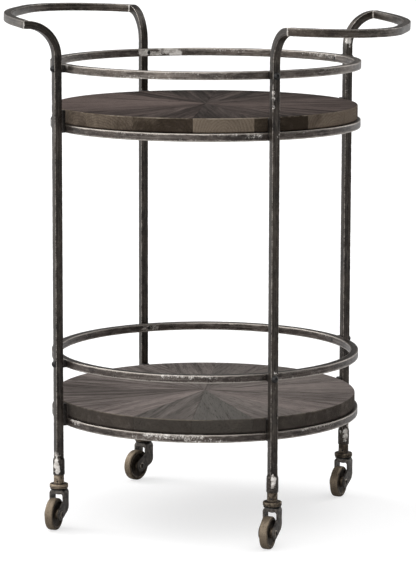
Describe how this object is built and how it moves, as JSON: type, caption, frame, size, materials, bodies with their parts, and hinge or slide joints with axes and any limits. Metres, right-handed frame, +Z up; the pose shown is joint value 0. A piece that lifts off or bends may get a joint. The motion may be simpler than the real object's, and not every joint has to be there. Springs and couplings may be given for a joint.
{
  "type": "round bar cart",
  "caption": "Round two-shelf bar cart: square iron bar frame with guard rails and bent handles, sunburst wood shelves, and swivel casters under the legs.",
  "frame": {"origin": "on the floor under the middle of the rings", "axes": "+Z up; +X towards the right handle, so the handles lie along X; -Y is the front"},
  "size_m": [0.7066, 0.513, 0.84],
  "materials": {
    "iron": "blackened square bar, waxed, bright where it was ground or rubbed",
    "weld_block": "blackened, matte",
    "screw": "blackened, slightly polished",
    "brass": "aged brass with dark patina",
    "wheel": "aged brass, tread rubbed lighter",
    "wood": "weathered grey-brown hardwood, open grain, matte wax"
  },
  "bodies": {
    "frame": {"leg_fr": "iron", "leg_br": "iron", "leg_bl": "iron", "leg_fl": "iron", "handle_right": "iron", "handle_left": "iron", "guard_ring_upper": "iron", "guard_ring_lower": "iron", "support_ring_upper": "iron", "support_ring_lower": "iron", "guard_spacers": "weld_block", "support_blocks": "weld_block", "ring_screws": "screw", "shelf_tabs": "iron", "shelf_screws": "screw", "shelf_upper": "wood", "shelf_lower": "wood", "ferrule_fr": "iron", "ferrule_br": "iron", "ferrule_bl": "iron", "ferrule_fl": "iron", "socket_fr": "brass", "socket_br": "brass", "socket_bl": "brass", "socket_fl": "brass", "set_screws": "screw"},
    "caster_fr": {"stem_fr": "brass", "race_fr": "screw", "fork_fr": "brass", "axle_fr": "brass"},
    "wheelset_fr": {"wheel_fr": "wheel"},
    "caster_br": {"stem_br": "brass", "race_br": "screw", "fork_br": "brass", "axle_br": "brass"},
    "wheelset_br": {"wheel_br": "wheel"},
    "caster_bl": {"stem_bl": "brass", "race_bl": "screw", "fork_bl": "brass", "axle_bl": "brass"},
    "wheelset_bl": {"wheel_bl": "wheel"},
    "caster_fl": {"stem_fl": "brass", "race_fl": "screw", "fork_fl": "brass", "axle_fl": "brass"},
    "wheelset_fl": {"wheel_fl": "wheel"}
  },
  "joints": [
    {"name": "swivel_fr", "type": "hinge", "parent": "frame", "child": "caster_fr", "pos_m": [0.18483, -0.19545, 0.08], "axis": [0, 0, 1], "continuous": true},
    {"name": "roll_fr", "type": "hinge", "parent": "caster_fr", "child": "wheelset_fr", "pos_m": [0.18483, -0.21645, 0.0265], "axis": [1, 0, 0], "continuous": true},
    {"name": "swivel_br", "type": "hinge", "parent": "frame", "child": "caster_br", "pos_m": [0.18483, 0.19545, 0.08], "axis": [0, 0, 1], "continuous": true},
    {"name": "roll_br", "type": "hinge", "parent": "caster_br", "child": "wheelset_br", "pos_m": [0.18336, 0.1745, 0.0265], "axis": [0.9976, -0.0698, 0], "continuous": true},
    {"name": "swivel_bl", "type": "hinge", "parent": "frame", "child": "caster_bl", "pos_m": [-0.18483, 0.19545, 0.08], "axis": [0, 0, 1], "continuous": true},
    {"name": "roll_bl", "type": "hinge", "parent": "caster_bl", "child": "wheelset_bl", "pos_m": [-0.19132, 0.17548, 0.0265], "axis": [0.9511, -0.309, 0], "continuous": true},
    {"name": "swivel_fl", "type": "hinge", "parent": "frame", "child": "caster_fl", "pos_m": [-0.18483, -0.19545, 0.08], "axis": [0, 0, 1], "continuous": true},
    {"name": "roll_fl", "type": "hinge", "parent": "caster_fl", "child": "wheelset_fl", "pos_m": [-0.18483, -0.21645, 0.0265], "axis": [1, 0, 0], "continuous": true}
  ]
}
